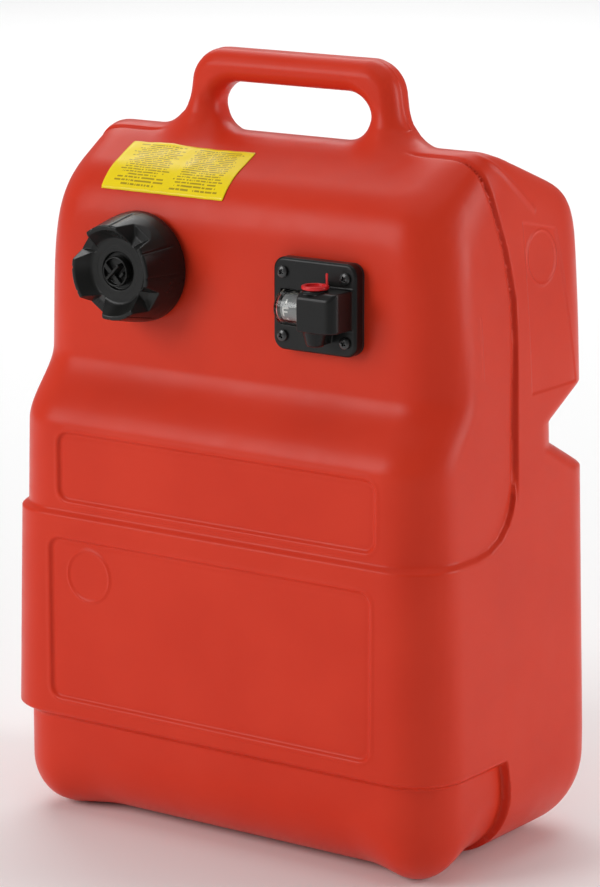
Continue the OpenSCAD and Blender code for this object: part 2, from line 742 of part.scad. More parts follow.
tooth_share = 0.44;       // tooth's share of the pitch, the rest is the gap
tooth_add = 0.62;         // height of a tooth over the pitch circle
tooth_ded = 0.85;         // depth of a gap under it
// Bevel gear with its large end at z = 0, tapering to the apex at z = gear_r
module bevel_gear(turn) {
    pitch = 360 / gear_teeth;
    steps = [[-0.5, -1], [-tooth_share * 0.66, -1], [-tooth_share * 0.5, 0],
             [-tooth_share * 0.24, 1], [tooth_share * 0.24, 1], [tooth_share * 0.5, 0],
             [tooth_share * 0.66, -1]];
    linear_extrude(height = gear_face, scale = 1 - gear_face / gear_r) rotate(turn)
        polygon([for (i = [0:gear_teeth - 1], s = steps)
            let (a = (i + s[0]) * pitch,
                 r = gear_r + (s[1] > 0 ? tooth_add : s[1] < 0 ? -tooth_ded : 0))
            [r * cos(a), r * sin(a)]]);
}

module drum_gear() {
    color("#e8e4da") at_gauge() translate([gear_back_x, drum_axis_z, drum_h])
        rotate([0, 90, 0]) difference() {
            union() {
                bevel_gear(180 / gear_teeth);
                translate([0, 0, -0.7]) cylinder(r = 4.5, h = 1);
            }
            translate([0, 0, -2]) cylinder(r = drum_shaft_r, h = gear_face + 4);
        }
}

module arm_gear() {
    color("#e8e4da") at_gauge() translate([gear_apex_x, drum_axis_z, gear_back_h])
        difference() {
            union() {
                bevel_gear(180);
                translate([0, 0, -0.9]) cylinder(r = 4.5, h = 1.2);
            }
            translate([0, 0, -2]) cylinder(r = arm_shaft_r, h = gear_face + 4);
        }
}

module arm_shaft() {
    color("#c9ccd0") at_gauge() translate([gear_apex_x, drum_axis_z, arm_h - 2])
        cylinder(r = arm_shaft_r, h = gear_back_h + 1.2 - arm_h + 2);
}

// The wire hangs from a hub on the shaft, then runs to the rear through the float
float_gap = 2;
wire_end = 4;             // wire's end behind the float
float_h1 = arm_h - float_gap;
float_h0 = float_h1 - float_l;
module float_arm() {
    color("#c9ccd0") at_gauge() translate([gear_apex_x, drum_axis_z, 0]) difference() {
        union() {
            translate([0, 0, arm_h - hub_t / 2]) cylinder(r = hub_r, h = hub_t);
            rod([0, -hub_r / 2, arm_h], [0, -arm_l, arm_h], wire_r);
            translate([0, -arm_l, arm_h]) sphere(wire_r);
            rod([0, -arm_l, arm_h], [0, -arm_l, float_h0 - wire_end], wire_r);
        }
        translate([0, 0, arm_h - 5]) cylinder(r = arm_shaft_r, h = 10);
    }
}

module float() {
    color("#222222") at_gauge() translate([gear_apex_x, drum_axis_z - arm_l, float_h0])
        difference() {
            rotate_extrude() polygon([[0, 0], [float_r - 2, 0], [float_r, 2],
                [float_r, float_l - 2], [float_r - 2, float_l], [0, float_l]]);
            translate([0, 0, -1]) cylinder(r = wire_r + slip, h = float_l + 2);
        }
}

module float_clip() {
    color("#c9ccd0") at_gauge() translate([gear_apex_x, drum_axis_z - arm_l, float_h0 - 1.3])
        ring(hub_r, wire_r, 1);
}

// ---- pickup --------------------------------------------------------------------------------

tube_drop = gauge_z + duct_z - strainer_z - strainer_h + 6;
module pickup_tube() {
    color("#e8e4da") at_gauge() translate([port_x, duct_z, 0]) difference() {
        union() {
            translate([0, 0, tube_h]) cylinder(r = tube_r, h = frame_h0 - tube_h - 0.2);
            translate([0, 0, tube_h]) sphere(tube_r);
            rod([0, 0, tube_h], [0, -tube_drop, tube_h], tube_r);
        }
        translate([0, 0, tube_h]) cylinder(r = spigot_r + slip, h = 30);
        translate([0, 0, tube_h]) sphere(spigot_r + slip);
        rod([0, 0, tube_h], [0, -tube_drop - 1, tube_h], tube_bore_r);
    }
}

slots = 6;
module pickup_filter() {
    color("#f2efe6") at_gauge()
        translate([port_x, strainer_z - gauge_z, tube_h]) rotate([-90, 0, 0]) difference() {
            cylinder(r = strainer_r, h = strainer_h);
            translate([0, 0, 1.5]) cylinder(r = strainer_r - 1.4, h = strainer_h - 8.5);
            translate([0, 0, strainer_h - 6.5]) cylinder(r = tube_r + slip, h = 7);
            translate([0, 0, 1.5]) cylinder(r = tube_bore_r, h = strainer_h);
            for (i = [0:slots - 1]) rotate(360 * (i + 0.5) / slots)
                translate([0, -1.5, 3.5]) cube([strainer_r + 1, 3, strainer_h - 12.5]);
        }
}

// ---- outlet plug ---------------------------------------------------------------------------

plug_r = 9.8;
plug_t = 2.5;
plug_l = 10;
module outlet_plug() {
    color("#e01f22") translate([gauge_x + port_x, face_y - port_h, port_top_z]) difference() {
        union() {
            translate([0, 0, gap]) rotate_extrude() polygon([
                [0, 0], [plug_r - 0.7, 0], [plug_r, 0.8], [plug_r, plug_t - 0.6],
                [plug_r - 0.6, plug_t], [0, plug_t]]);
            translate([0, 0, -plug_l]) cylinder(r = port_r - slip, h = plug_l + 1);
            rotate(25) translate([plug_r - 3, -0.8, plug_t - 0.5]) cube([2.2, 1.6, 8.5]);
        }
        translate([0, 0, 1.2]) cylinder(r = plug_r - 3.4, h = 4);
        translate([0, 0, -plug_l - 1]) cylinder(r = port_r - 1.5, h = plug_l);
    }
}

// ---- label ---------------------------------------------------------------------------------

label_y1 = face_y + 41.5;       // its upper edge
label_lift = 0.3;
label_t = 0.3;
label_cols = 6;
label_rows = 10;
// Height of the tank's outside over a point of the plan
function top_at(x, y, lift, z0 = 380, z1 = 520, n = 18) =
    n == 0 ? (z0 + z1) / 2
           : let (z = (z0 + z1) / 2)
             tank_form([x, y, z]) - lift < 0 ? top_at(x, y, lift, z, z1, n - 1)
                                             : top_at(x, y, lift, z0, z, n - 1);
label_depth = label_h * sin(front_shoulder);
module label_film() {
    function spot(i, j, lift) =
        let (x = label_x + label_w * i / label_cols, y = label_y1 - label_depth * j / label_rows)
        [x, y, top_at(x, y, lift)];
    rings = [for (i = [0:label_cols]) concat(
        [for (j = [0:label_rows]) spot(i, j, label_lift)],
        [for (j = [label_rows:-1:0]) spot(i, j, label_lift + label_t)])];
    color("#f2d21b") skin(rings);
}

tank_shell();
filler_neck();
cap_grip();
cap_core();
cap_gasket();
vent_knob();
vent_seal();
flange_gasket();
gauge_housing();
flange_screws();
gauge_lens();
lens_seal();
gauge_frame();
drum_shaft();
gauge_drum();
drum_gear();
arm_gear();
arm_shaft();
float_arm();
float();
float_clip();
pickup_tube();
pickup_filter();
outlet_plug();
label_film();
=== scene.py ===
"""Portable fuel tank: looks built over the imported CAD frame.

Sizes are in millimetres, in the frame's axes: x to the right, y to the rear, z up from the floor.
A form is a function of x, y and z that is below zero inside its piece, and near to the distance
from the piece's surface. The pieces are meshes of these forms.
"""

import math

import bpy
import numpy as np
import openvdb
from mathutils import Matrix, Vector


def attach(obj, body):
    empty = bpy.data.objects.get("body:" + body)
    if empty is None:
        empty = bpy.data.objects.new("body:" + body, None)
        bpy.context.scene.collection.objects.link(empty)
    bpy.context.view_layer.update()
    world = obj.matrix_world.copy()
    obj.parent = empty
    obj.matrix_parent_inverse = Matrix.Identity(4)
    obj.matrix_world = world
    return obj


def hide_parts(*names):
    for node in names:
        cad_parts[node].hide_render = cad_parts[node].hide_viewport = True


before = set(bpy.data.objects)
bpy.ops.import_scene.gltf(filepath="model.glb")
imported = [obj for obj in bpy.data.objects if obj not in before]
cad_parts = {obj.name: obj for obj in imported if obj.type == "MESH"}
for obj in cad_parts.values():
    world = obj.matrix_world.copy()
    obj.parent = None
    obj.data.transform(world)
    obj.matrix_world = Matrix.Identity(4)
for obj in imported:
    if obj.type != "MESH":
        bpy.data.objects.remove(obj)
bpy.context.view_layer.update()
MM = 0.001
SIN_45 = 0.7071
FACE_Y = -75.0                       # front face above the ledge
FILLER = (-69.0, 378.8)              # x and z of the filler's axis
GAUGE = (72.0, 367.7)                # x and z of the flange's middle

# ---- camera --------------------------------------------------------------------------------------

AZIMUTH, ELEVATION = math.radians(35.365), math.radians(12.648)
DISTANCE = 2370.7
AIM = (0.92, 0.0, 256.06)
SENSOR_WIDTH, FOCAL_LENGTH = 36.0, 146.02
CLIP_END = 20.0                      # metres

back = Vector((math.sin(AZIMUTH) * math.cos(ELEVATION), -math.cos(AZIMUTH) * math.cos(ELEVATION),
               math.sin(ELEVATION)))
camera = bpy.data.objects.new("camera", bpy.data.cameras.new("camera"))
bpy.context.collection.objects.link(camera)
camera.data.sensor_width = SENSOR_WIDTH
camera.data.lens = FOCAL_LENGTH
camera.data.clip_end = CLIP_END
camera.location = (Vector(AIM) + back * DISTANCE) * MM
camera.rotation_euler = back.to_track_quat("Z", "Y").to_euler()
bpy.context.scene.camera = camera

# ---- forms ---------------------------------------------------------------------------------------


def ease(t):
    """Smooth step from 0 to 1."""
    t = np.clip(t, 0, 1)
    return t * t * (3 - 2 * t)


def drop(d, width):
    """1 where d is well below zero and 0 where it is well above, with a smooth step this wide."""
    return 1 - ease(d / width + 0.5)


def rmax(a, b, r):
    """What lies inside both a and b, with a round edge of radius r where they meet."""
    outer = np.hypot(np.maximum(a + r, 0), np.maximum(b + r, 0))
    return np.minimum(np.maximum(a, b) + r, 0) + outer - r


def smax(a, b, k):
    """What lies inside both a and b, with a soft blend over the width k."""
    h = np.maximum(k - np.abs(a - b), 0) / k
    return np.maximum(a, b) + h * h * k / 4


def smin(a, b, k):
    """What lies inside a or b, with a soft blend over the width k."""
    return -smax(-a, -b, k)


def rounded_rect(u, v, half_u, half_v, r):
    qu, qv = np.abs(u) - half_u + r, np.abs(v) - half_v + r
    return np.minimum(np.maximum(qu, qv), 0) + np.hypot(np.maximum(qu, 0), np.maximum(qv, 0)) - r


def segment(u, v, a, b):
    """Distance in a plane to the segment from a to b."""
    du, dv = b[0] - a[0], b[1] - a[1]
    t = np.clip(((u - a[0]) * du + (v - a[1]) * dv) / (du * du + dv * dv), 0, 1)
    return np.hypot(u - a[0] - t * du, v - a[1] - t * dv)


def ridge(d, width):
    """Round ridge of height 1 along d = 0."""
    return np.exp(-((d / width) ** 2))


# ---- meshing -------------------------------------------------------------------------------------


def slope(form, x, y, z, e):
    """The form's gradient, from its differences over e each way."""
    return np.stack([form(x + e, y, z) - form(x - e, y, z),
                     form(x, y + e, z) - form(x, y - e, z),
                     form(x, y, z + e) - form(x, y, z - e)], axis=1) / (2 * e)


def settle(points, form, most=1.0):
    """Moves points onto the form's surface along its slope, at most this far each time."""
    times, e, flattest = 4, 0.02, 0.05
    p = points.copy()
    for _ in range(times):
        x, y, z = p.T
        f = form(x, y, z)
        g = slope(form, x, y, z, e)
        g2 = np.maximum((g * g).sum(axis=1), flattest)
        move = -(f / g2)[:, None] * g
        size = np.maximum(np.linalg.norm(move, axis=1), 1e-9)
        p += move * np.minimum(1, most / size)[:, None]
    return p


def surface(form, lo, hi, step):
    """Quads of the surface form = 0 inside the box lo..hi, facing outwards."""
    band = 3 * step                  # the grid holds values to this distance from the surface
    axes = [np.arange(lo[i], hi[i] + step, step) for i in range(3)]
    values = form(*np.meshgrid(*axes, indexing="ij"))
    grid = openvdb.FloatGrid(band)
    grid.copyFromArray(np.clip(values, -band, band).astype(np.float32))
    points, quads = grid.convertToQuads(0.0)
    points = points.astype(float) * step + np.array([a[0] for a in axes])
    points = settle(points, form, most=0.6 * step)
    # the quads face outwards when the form grows along their normals
    a, b, c, d = (points[quads[:, i]] for i in range(4))
    normal = np.cross(c - a, d - b)
    middle = (a + b + c + d) / 4
    n = normal / np.maximum(np.linalg.norm(normal, axis=1), 1e-9)[:, None] * 0.3 * step
    out = form(*(middle + n).T) - form(*(middle - n).T)
    return points, (quads if np.median(out) > 0 else quads[:, ::-1])


def refine(points, faces, near, limit):
    """Splits the quads in four where near is below the limit.

    Their neighbours take the new points on the edges that they share.
    """
    points = [tuple(p) for p in points]
    middle = {}

    def edge(a, b):
        return (a, b) if a < b else (b, a)

    def mid(a, b):
        key = edge(a, b)
        if key not in middle:
            middle[key] = len(points)
            points.append(tuple((points[a][i] + points[b][i]) / 2 for i in range(3)))
        return middle[key]

    hit = [len(f) == 4 and min(near[v] for v in f) < limit for f in faces]
    out = []
    for f, h in zip(faces, hit):
        if h:
            m = [mid(f[i], f[(i + 1) % 4]) for i in range(4)]
            c = len(points)
            points.append(tuple(sum(points[v][i] for v in f) / 4 for i in range(3)))
            out += [(f[i], m[i], c, m[(i + 3) % 4]) for i in range(4)]
    for f, h in zip(faces, hit):
        if not h:
            loop = []
            for i, a in enumerate(f):
                key = edge(a, f[(i + 1) % len(f)])
                loop.append(a)
                if key in middle:
                    loop.append(middle[key])
            out.append(tuple(loop))
    return np.array(points), out


def make(name, points, faces, material, body, replaces=(), smooth=True):
    """Makes a piece that rides on a body of the frame."""
    mesh = bpy.data.meshes.new(name)
    points = (np.asarray(points) * MM).tolist()
    mesh.from_pydata(points, [], [tuple(int(v) for v in f) for f in faces])
    mesh.validate()
    mesh.update()
    if smooth:
        mesh.shade_smooth()
    mesh.materials.append(material)
    piece = bpy.data.objects.new(name, mesh)
    bpy.context.collection.objects.link(piece)
    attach(piece, body)
    if replaces:
        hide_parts(*replaces)
    return piece


# ---- materials -----------------------------------------------------------------------------------

SPREAD = (0.3, 0.7)                  # a noise's values lie mostly between these
NARROW = (0.35, 0.65)                # the same, for more contrast
# scales of the noises per metre
DRIFT_SCALE, GLOSS_SCALE, WAVE_SCALE = 14, 60, 22
METAL_GLOSS_SCALE, METAL_GRAIN_SCALE = 900, 1500
METAL_GRAIN = 0.00001                # metres


def material(name, color, roughness, **sockets):
    """A material, with its node tree and its shader. Sockets are named with _ for each space."""
    mat = bpy.data.materials.new(name)
    mat.use_nodes = True
    shader = mat.node_tree.nodes["Principled BSDF"]
    shader.inputs["Base Color"].default_value = (*color, 1)
    shader.inputs["Roughness"].default_value = roughness
    for key, value in sockets.items():
        shader.inputs[key.replace("_", " ")].default_value = value
    return mat, mat.node_tree, shader


def noise(tree, scale, detail=3, rough=0.5):
    """Noise in the object's own space. The scale is per metre."""
    place = tree.nodes.get("place")
    if place is None:
        place = tree.nodes.new("ShaderNodeTexCoord")
        place.name = "place"
    node = tree.nodes.new("ShaderNodeTexNoise")
    node.inputs["Scale"].default_value = scale
    node.inputs["Detail"].default_value = detail
    node.inputs["Roughness"].default_value = rough
    tree.links.new(place.outputs["Object"], node.inputs["Vector"])
    return node.outputs["Fac"]


def ramp(tree, value, spread, low, high):
    """Stretches a value over the spread to low..high."""
    node = tree.nodes.new("ShaderNodeMapRange")
    node.inputs["From Min"].default_value = spread[0]
    node.inputs["From Max"].default_value = spread[1]
    node.inputs["To Min"].default_value = low
    node.inputs["To Max"].default_value = high
    tree.links.new(value, node.inputs["Value"])
    return node.outputs["Result"]


def tint(tree, value, a, b):
    """Colour between a and b."""
    node = tree.nodes.new("ShaderNodeMix")
    node.data_type = "RGBA"
    node.inputs["A"].default_value = (*a, 1)
    node.inputs["B"].default_value = (*b, 1)
    tree.links.new(value, node.inputs["Factor"])
    return node.outputs["Result"]


def bump(tree, shader, layers):
    """Layers of (height, distance in metres), stacked into the shader's normal."""
    last = None
    for value, distance in layers:
        node = tree.nodes.new("ShaderNodeBump")
        node.inputs["Distance"].default_value = distance
        tree.links.new(value, node.inputs["Height"])
        if last:
            tree.links.new(last, node.inputs["Normal"])
        last = node.outputs["Normal"]
    tree.links.new(last, shader.inputs["Normal"])


def moulded(name, color, darker, roughness, grain, depth, wave=0.0, **sockets):
    """Moulded plastic: slow colour drift, uneven gloss, fine grain and a slow wave in the surface.

    The grain's scale is per metre, and its depth and the wave's height are in metres.
    """
    mat, tree, shader = material(name, color, roughness, **sockets)
    drift = ramp(tree, noise(tree, DRIFT_SCALE, 4), NARROW, 0, 1)
    tree.links.new(tint(tree, drift, color, darker), shader.inputs["Base Color"])
    uneven = noise(tree, GLOSS_SCALE, 5, 0.6)
    gloss = ramp(tree, uneven, SPREAD, roughness - 0.04, roughness + 0.05)
    tree.links.new(gloss, shader.inputs["Roughness"])
    layers = [(noise(tree, grain, 2), depth)]
    if wave:
        layers.append((noise(tree, WAVE_SCALE, 1), wave))
    bump(tree, shader, layers)
    return mat


def metal(name, color, roughness):
    mat, tree, shader = material(name, color, roughness, Metallic=1.0)
    uneven = noise(tree, METAL_GLOSS_SCALE, 3)
    gloss = ramp(tree, uneven, SPREAD, roughness - 0.08, roughness + 0.1)
    tree.links.new(gloss, shader.inputs["Roughness"])
    bump(tree, shader, [(noise(tree, METAL_GRAIN_SCALE, 2), METAL_GRAIN)])
    return mat


def clear_plastic():
    mat, tree, shader = material("clear_plastic", (0.98, 0.98, 0.97), 0.03,
                                 Transmission_Weight=1.0, IOR=1.25)
    gloss = ramp(tree, noise(tree, GLOSS_SCALE, 2), SPREAD, 0.02, 0.05)
    tree.links.new(gloss, shader.inputs["Roughness"])
    return mat


def label_paper():
    """Yellow film with two columns of ruled dashes, which stand for print."""
    rows, row_half, cells, gap_share = 21, 0.24, 130, 0.2
    # columns across the film: middles, and half a line's length as it varies
    left_middle, shortest, ragged, left_more = 0.28, 0.1, 0.09, 0.02
    right_middle, right_half, right_ragged = 0.74, 0.24, 0.4
    print_half = 0.44                # half the height of the printed part
    plain_yellow = (0.97, 0.74, 0.008)         # for a viewer that doesn't read the nodes
    yellow, deeper = (0.97, 0.76, 0.008), (0.93, 0.68, 0.010)
    ink_color, ink_share = (0.22, 0.13, 0.02), 0.7
    drift_scale, gloss_scale, ripple_scale, ripple = 40, 90, 55, 0.0006

    mat, tree, shader = material("label_yellow", plain_yellow, 0.3, Specular_IOR_Level=0.2,
                                 Coat_Weight=0.12, Coat_Roughness=0.06)
    uv = tree.nodes.new("ShaderNodeUVMap").outputs["UV"]
    parts = tree.nodes.new("ShaderNodeSeparateXYZ")
    tree.links.new(uv, parts.inputs["Vector"])
    u, v = parts.outputs["X"], parts.outputs["Y"]

    def calc(kind, *values):
        node = tree.nodes.new("ShaderNodeMath")
        node.operation = kind
        for socket, value in zip(node.inputs, values):
            if isinstance(value, (int, float)):
                socket.default_value = value
            else:
                tree.links.new(value, socket)
        return node.outputs["Value"]

    def within(value, middle, half):
        return calc("LESS_THAN", calc("ABSOLUTE", calc("SUBTRACT", value, middle)), half)

    row = calc("MULTIPLY", v, rows)
    in_row = within(calc("FRACT", row), 0.5, row_half)
    line = calc("FLOOR", row)
    cell = tree.nodes.new("ShaderNodeCombineXYZ")
    tree.links.new(calc("FLOOR", calc("MULTIPLY", u, cells)), cell.inputs["X"])
    tree.links.new(line, cell.inputs["Y"])
    dash = tree.nodes.new("ShaderNodeTexWhiteNoise")
    dash.noise_dimensions = "3D"
    tree.links.new(cell.outputs["Vector"], dash.inputs["Vector"])
    ink = calc("MULTIPLY", in_row, calc("GREATER_THAN", dash.outputs["Value"], gap_share))
    # ragged left and right ends of each line, per column
    ends = tree.nodes.new("ShaderNodeTexWhiteNoise")
    ends.noise_dimensions = "1D"
    tree.links.new(line, ends.inputs["W"])
    reach = calc("MULTIPLY_ADD", ends.outputs["Value"], ragged, shortest)
    on_left = within(u, left_middle, calc("ADD", reach, left_more))
    short = calc("MULTIPLY", reach, right_ragged)
    on_right = within(u, right_middle, calc("SUBTRACT", right_half, short))
    ink = calc("MULTIPLY", ink, calc("MAXIMUM", on_left, on_right))
    ink = calc("MULTIPLY", ink, within(v, 0.5, print_half))
    mix = tree.nodes.new("ShaderNodeMix")
    mix.data_type = "RGBA"
    mix.inputs["B"].default_value = (*ink_color, 1)
    tree.links.new(tint(tree, noise(tree, drift_scale, 3), yellow, deeper), mix.inputs["A"])
    tree.links.new(calc("MULTIPLY", ink, ink_share), mix.inputs["Factor"])
    tree.links.new(mix.outputs["Result"], shader.inputs["Base Color"])
    gloss = ramp(tree, noise(tree, gloss_scale, 2), SPREAD, 0.26, 0.36)
    tree.links.new(gloss, shader.inputs["Roughness"])
    bump(tree, shader, [(noise(tree, ripple_scale, 2), ripple)])
    return mat


RED = moulded("red_tank", (0.680, 0.042, 0.016), (0.640, 0.036, 0.013), 0.34, 2600, 0.000012,
              wave=0.0007, Specular_IOR_Level=0.17, Subsurface_Weight=0.06,
              Subsurface_Radius=(0.008, 0.0012, 0.0006), Subsurface_Scale=1.0)
BLACK = moulded("black_plastic", (0.011, 0.011, 0.010), (0.007, 0.007, 0.007), 0.30, 1900, 0.00003,
                Specular_IOR_Level=0.25)
RUBBER = moulded("rubber", (0.02, 0.02, 0.02), (0.03, 0.03, 0.03), 0.7, 1400, 0.00003)
WHITE = moulded("white_plastic", (0.74, 0.71, 0.63), (0.68, 0.65, 0.56), 0.4, 1500, 0.00001)
PLUG = moulded("red_plug", (0.72, 0.012, 0.016), (0.66, 0.010, 0.013), 0.3, 1500, 0.00001)
FOAM = moulded("float_black", (0.02, 0.02, 0.02), (0.035, 0.035, 0.035), 0.8, 900, 0.0001)
STEEL = metal("steel", (0.62, 0.63, 0.65), 0.3)
BLACK_STEEL = moulded("black_steel", (0.015, 0.015, 0.015), (0.02, 0.02, 0.02), 0.3, 1500, 0.00001,
                      Coat_Weight=0.3)
CLEAR = clear_plastic()
DRUM = moulded("drum_grey", (0.30, 0.31, 0.31), (0.24, 0.25, 0.25), 0.35, 1500, 0.00001)
MARK = moulded("mark_white", (0.86, 0.86, 0.84), (0.8, 0.8, 0.78), 0.5, 1500, 0.00001)
LABEL = label_paper()

# pieces that show as the CAD has them
for nodes, mat in (
    (("filler_neck",), RED),
    (("cap_core",), BLACK),
    (("cap_gasket", "vent_seal", "flange_gasket", "lens_seal"), RUBBER),
    (("gauge_frame", "drum_gear", "arm_gear", "pickup_tube", "pickup_filter"), WHITE),
    (("gauge_drum",), DRUM),
    (("drum_shaft", "arm_shaft", "float_arm", "float_clip"), STEEL),
    (("float",), FOAM),
):
    for node in nodes:
        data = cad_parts[node].data
        data.materials.clear()
        data.materials.append(mat)

# ---- tank ----------------------------------------------------------------------------------------

FRONT, REAR, TOP = -103.0, 103.0, 470.0
HALF_WIDTH = 175.5
SIDE_DRAFT, DRAFT_FROM = 0.03, 72.0  # the sides lean in by this share above this height
FOOT_IN, BELT_IN = 6.0, 3.2          # steps in under and over the belt
FOOT_RAMP, BELT_RAMP = 6.0, 4.6
BELT_LOW, BELT_LOW_FALL, BELT_LOW_FROM, BELT_LOW_OVER = 72, 92, -18, 17
LEDGE, LEDGE_HEIGHT, LEDGE_IN = 269.0, 46.0, 24.8
FRONT_CORNER, REAR_CORNER = 37.0, 38.0
NOTCH, NOTCH_FLAT, NOTCH_RAMP, NOTCH_IN = 276.0, 8.0, 20.0, 38.0
PARTING_RAMP = 3.4
# slopes of the shoulders in degrees, and where they would meet the top's height
FRONT_SLOPE, FRONT_SLOPE_Y = 62.4, 2.7
REAR_SLOPE, REAR_SLOPE_Y = 68.7, -20.7
SIDE_SLOPE, SIDE_SLOPE_X = 11.8, 154.5
RIDGE_BLEND, TOP_BLEND, SHOULDER_BLEND = 8.0, 17.0, 24.6
SIDE_BLEND, SIDE_BLEND_FRONT = 17.0, 31.0      # the second is added at the front
BOTTOM_EDGE, BOTTOM_EDGE_LESS = 56.0, 20.0     # the second is taken off at the front corners
# carry handle
HANDLE_TOP, HANDLE_HALF, HANDLE_LEAN = 514.0, 77.6, 7.8
HANDLE_CORNER, HANDLE_ROOT, HANDLE_ROOT_EDGE = 21.0, 436.0, 5.0
GRIP_UNDER, GRIP_HALF, GRIP_CORNER, GRIP_FLOOR = 492.3, 60.8, 17.0, 426.0
HANDLE_HALF_DEPTH, HANDLE_EDGE, HANDLE_BLEND = 14.4, 11.0, 25.5
BORES = ((FILLER, 26.7), (GAUGE, 25.0))        # axis and radius
BORE_END = -64.0

# moulded detail on the plain form
PANELS = ((2.5, 243.4, 125.5, 22.8), (-1.0, 140.6, 127.6, 54.6))    # middle x, z and half sizes
PANEL_CORNER, PANEL_STEP, PANEL_RAMP = 8.0, 1.5, 1.9
LIP, LIP_OUT, LINE, LINE_IN, LIP_WIDTH = 0.45, 2.0, 0.3, 2.0, 1.1   # along the panel's edge
FRONT_RING = (-97.2, 172.4, 17.2)              # x, z and radius
REAR_RING = (38.4, 391.0, 17.2)                # y, z and radius
GROOVE, GROOVE_WIDTH = 2.4, 1.3
GROOVE_FROM_Z, GROOVE_FROM_X, GROOVE_FADE = 236, 92, 26
# shallow panel on the rear lobe's right side
LOBE_TOP, LOBE_TOP_FALL, LOBE_TOP_AT = 411, 0.22, 40
LOBE_LOW, LOBE_FRONT, LOBE_REAR, LOBE_REAR_LEAN = 306, 19, 74, 0.17
LOBE_STEP, LOBE_RAMP, LOBE_CORNER = 0.7, 1.6, 7.0
CREASE = ((-7, 458), (10, 442), (33, 422))     # y and z
LEVEL_LINE = ((-33, 324), (-33.6, 362))        # y and z
FAR = 99.0                                     # farther than any distance that counts


def belt_edge(y):
    """Height of the belt's upper edge."""
    return np.interp(y, [-46, -32, -20, -11, -6, -3, 0], [212, 214, 219, 227, 235, 243, 264])


def foot_edge(y):
    """Height of the belt's lower edge, which drops out of sight at the rear half."""
    return BELT_LOW - BELT_LOW_FALL * ease((y - BELT_LOW_FROM) / BELT_LOW_OVER)


def parting(z):
    """Where the front and the rear half of the body meet, as y."""
    return np.interp(z, [240, 275, 306, 338, 369, 401, 433, 455, 476],
                     [-1, -0.5, 0.5, 2.6, 3.3, -2.5, -13, -18, -23])


def tank_features(x, y, z):
    """Height of the moulded detail over the plain form, and the distance to its nearest edge."""
    ax = np.abs(x)
    h = np.zeros_like(x)
    near = np.full_like(x, FAR)

    def mark(d, where):
        np.minimum(near, np.where(where, np.abs(d), FAR), out=near)

    front = y < -88
    for cx, cz, half_x, half_z in PANELS:
        d = rounded_rect(x - cx, z - cz, half_x, half_z, PANEL_CORNER)
        step = (PANEL_STEP * drop(d, PANEL_RAMP) - LIP * ridge(d - LIP_OUT, LIP_WIDTH)
                + LINE * ridge(d + LINE_IN, LIP_WIDTH))
        h -= np.where(front, step, 0)
        mark(d, front)
    cx, cz, r = FRONT_RING
    d = np.hypot(x - cx, z - cz) - r
    h += np.where(front, 0.8 * ridge(d, 1.0), 0)
    mark(d, front)
    # groove along the parting of the two halves, from the belt over the shoulder
    off = y - parting(z)
    fade = ease((z - GROOVE_FROM_Z) / GROOVE_FADE) * ease((ax - GROOVE_FROM_X) / GROOVE_FADE)
    h -= GROOVE * fade * ridge(off, GROOVE_WIDTH)
    mark(off, (z > 226) & (ax > 88) & (np.abs(off) < 12))
    # rear lobe: shallow panel, ring and the crease over it
    lobe = (x > 120) & (y > 0)
    high_low = rmax(z - LOBE_TOP + LOBE_TOP_FALL * (y - LOBE_TOP_AT), LOBE_LOW - z, LOBE_CORNER)
    front_rear = rmax(LOBE_FRONT - y, y - LOBE_REAR + LOBE_REAR_LEAN * (z - LOBE_LOW), LOBE_CORNER)
    d = np.maximum(high_low, front_rear)
    h -= np.where(lobe, LOBE_STEP * drop(d, LOBE_RAMP), 0)
    mark(d, lobe)
    cy, cz, r = REAR_RING
    d = np.hypot(y - cy, z - cz) - r
    h += np.where(lobe, 0.6 * ridge(d, 0.8), 0)
    mark(d, lobe)
    right = x > 120
    d = np.minimum(segment(y, z, CREASE[0], CREASE[1]), segment(y, z, CREASE[1], CREASE[2]))
    h += np.where(right, 0.7 * ridge(d, 2.2), 0)
    mark(d - 1.5, right)
    side = (x > 140) & (y < 0)
    d = segment(y, z, *LEVEL_LINE)
    h += np.where(side, 0.5 * ridge(d, 0.6), 0)
    mark(d, side)
    # flash line of the mould on the handle's outside
    high = (z > 470) & ((z > 505) | (ax > 66))
    h += np.where(high, 0.35 * ridge(y, 0.8) - 0.4, 0)
    mark(y, high)
    return h, near


def handle_form(ax, y, z):
    a = math.radians(HANDLE_LEAN)
    over = z - HANDLE_TOP
    outer = rmax((ax - HANDLE_HALF) * math.cos(a) + over * math.sin(a), over, HANDLE_CORNER)
    over = z - GRIP_UNDER
    inner = rmax((ax - GRIP_HALF) * math.cos(a) + over * math.sin(a), over, GRIP_CORNER)
    inner = rmax(inner, GRIP_FLOOR - z, GRIP_CORNER)
    bar = rmax(np.maximum(outer, -inner), HANDLE_ROOT - z, HANDLE_ROOT_EDGE)
    return rmax(bar, np.abs(y) - HANDLE_HALF_DEPTH, HANDLE_EDGE)


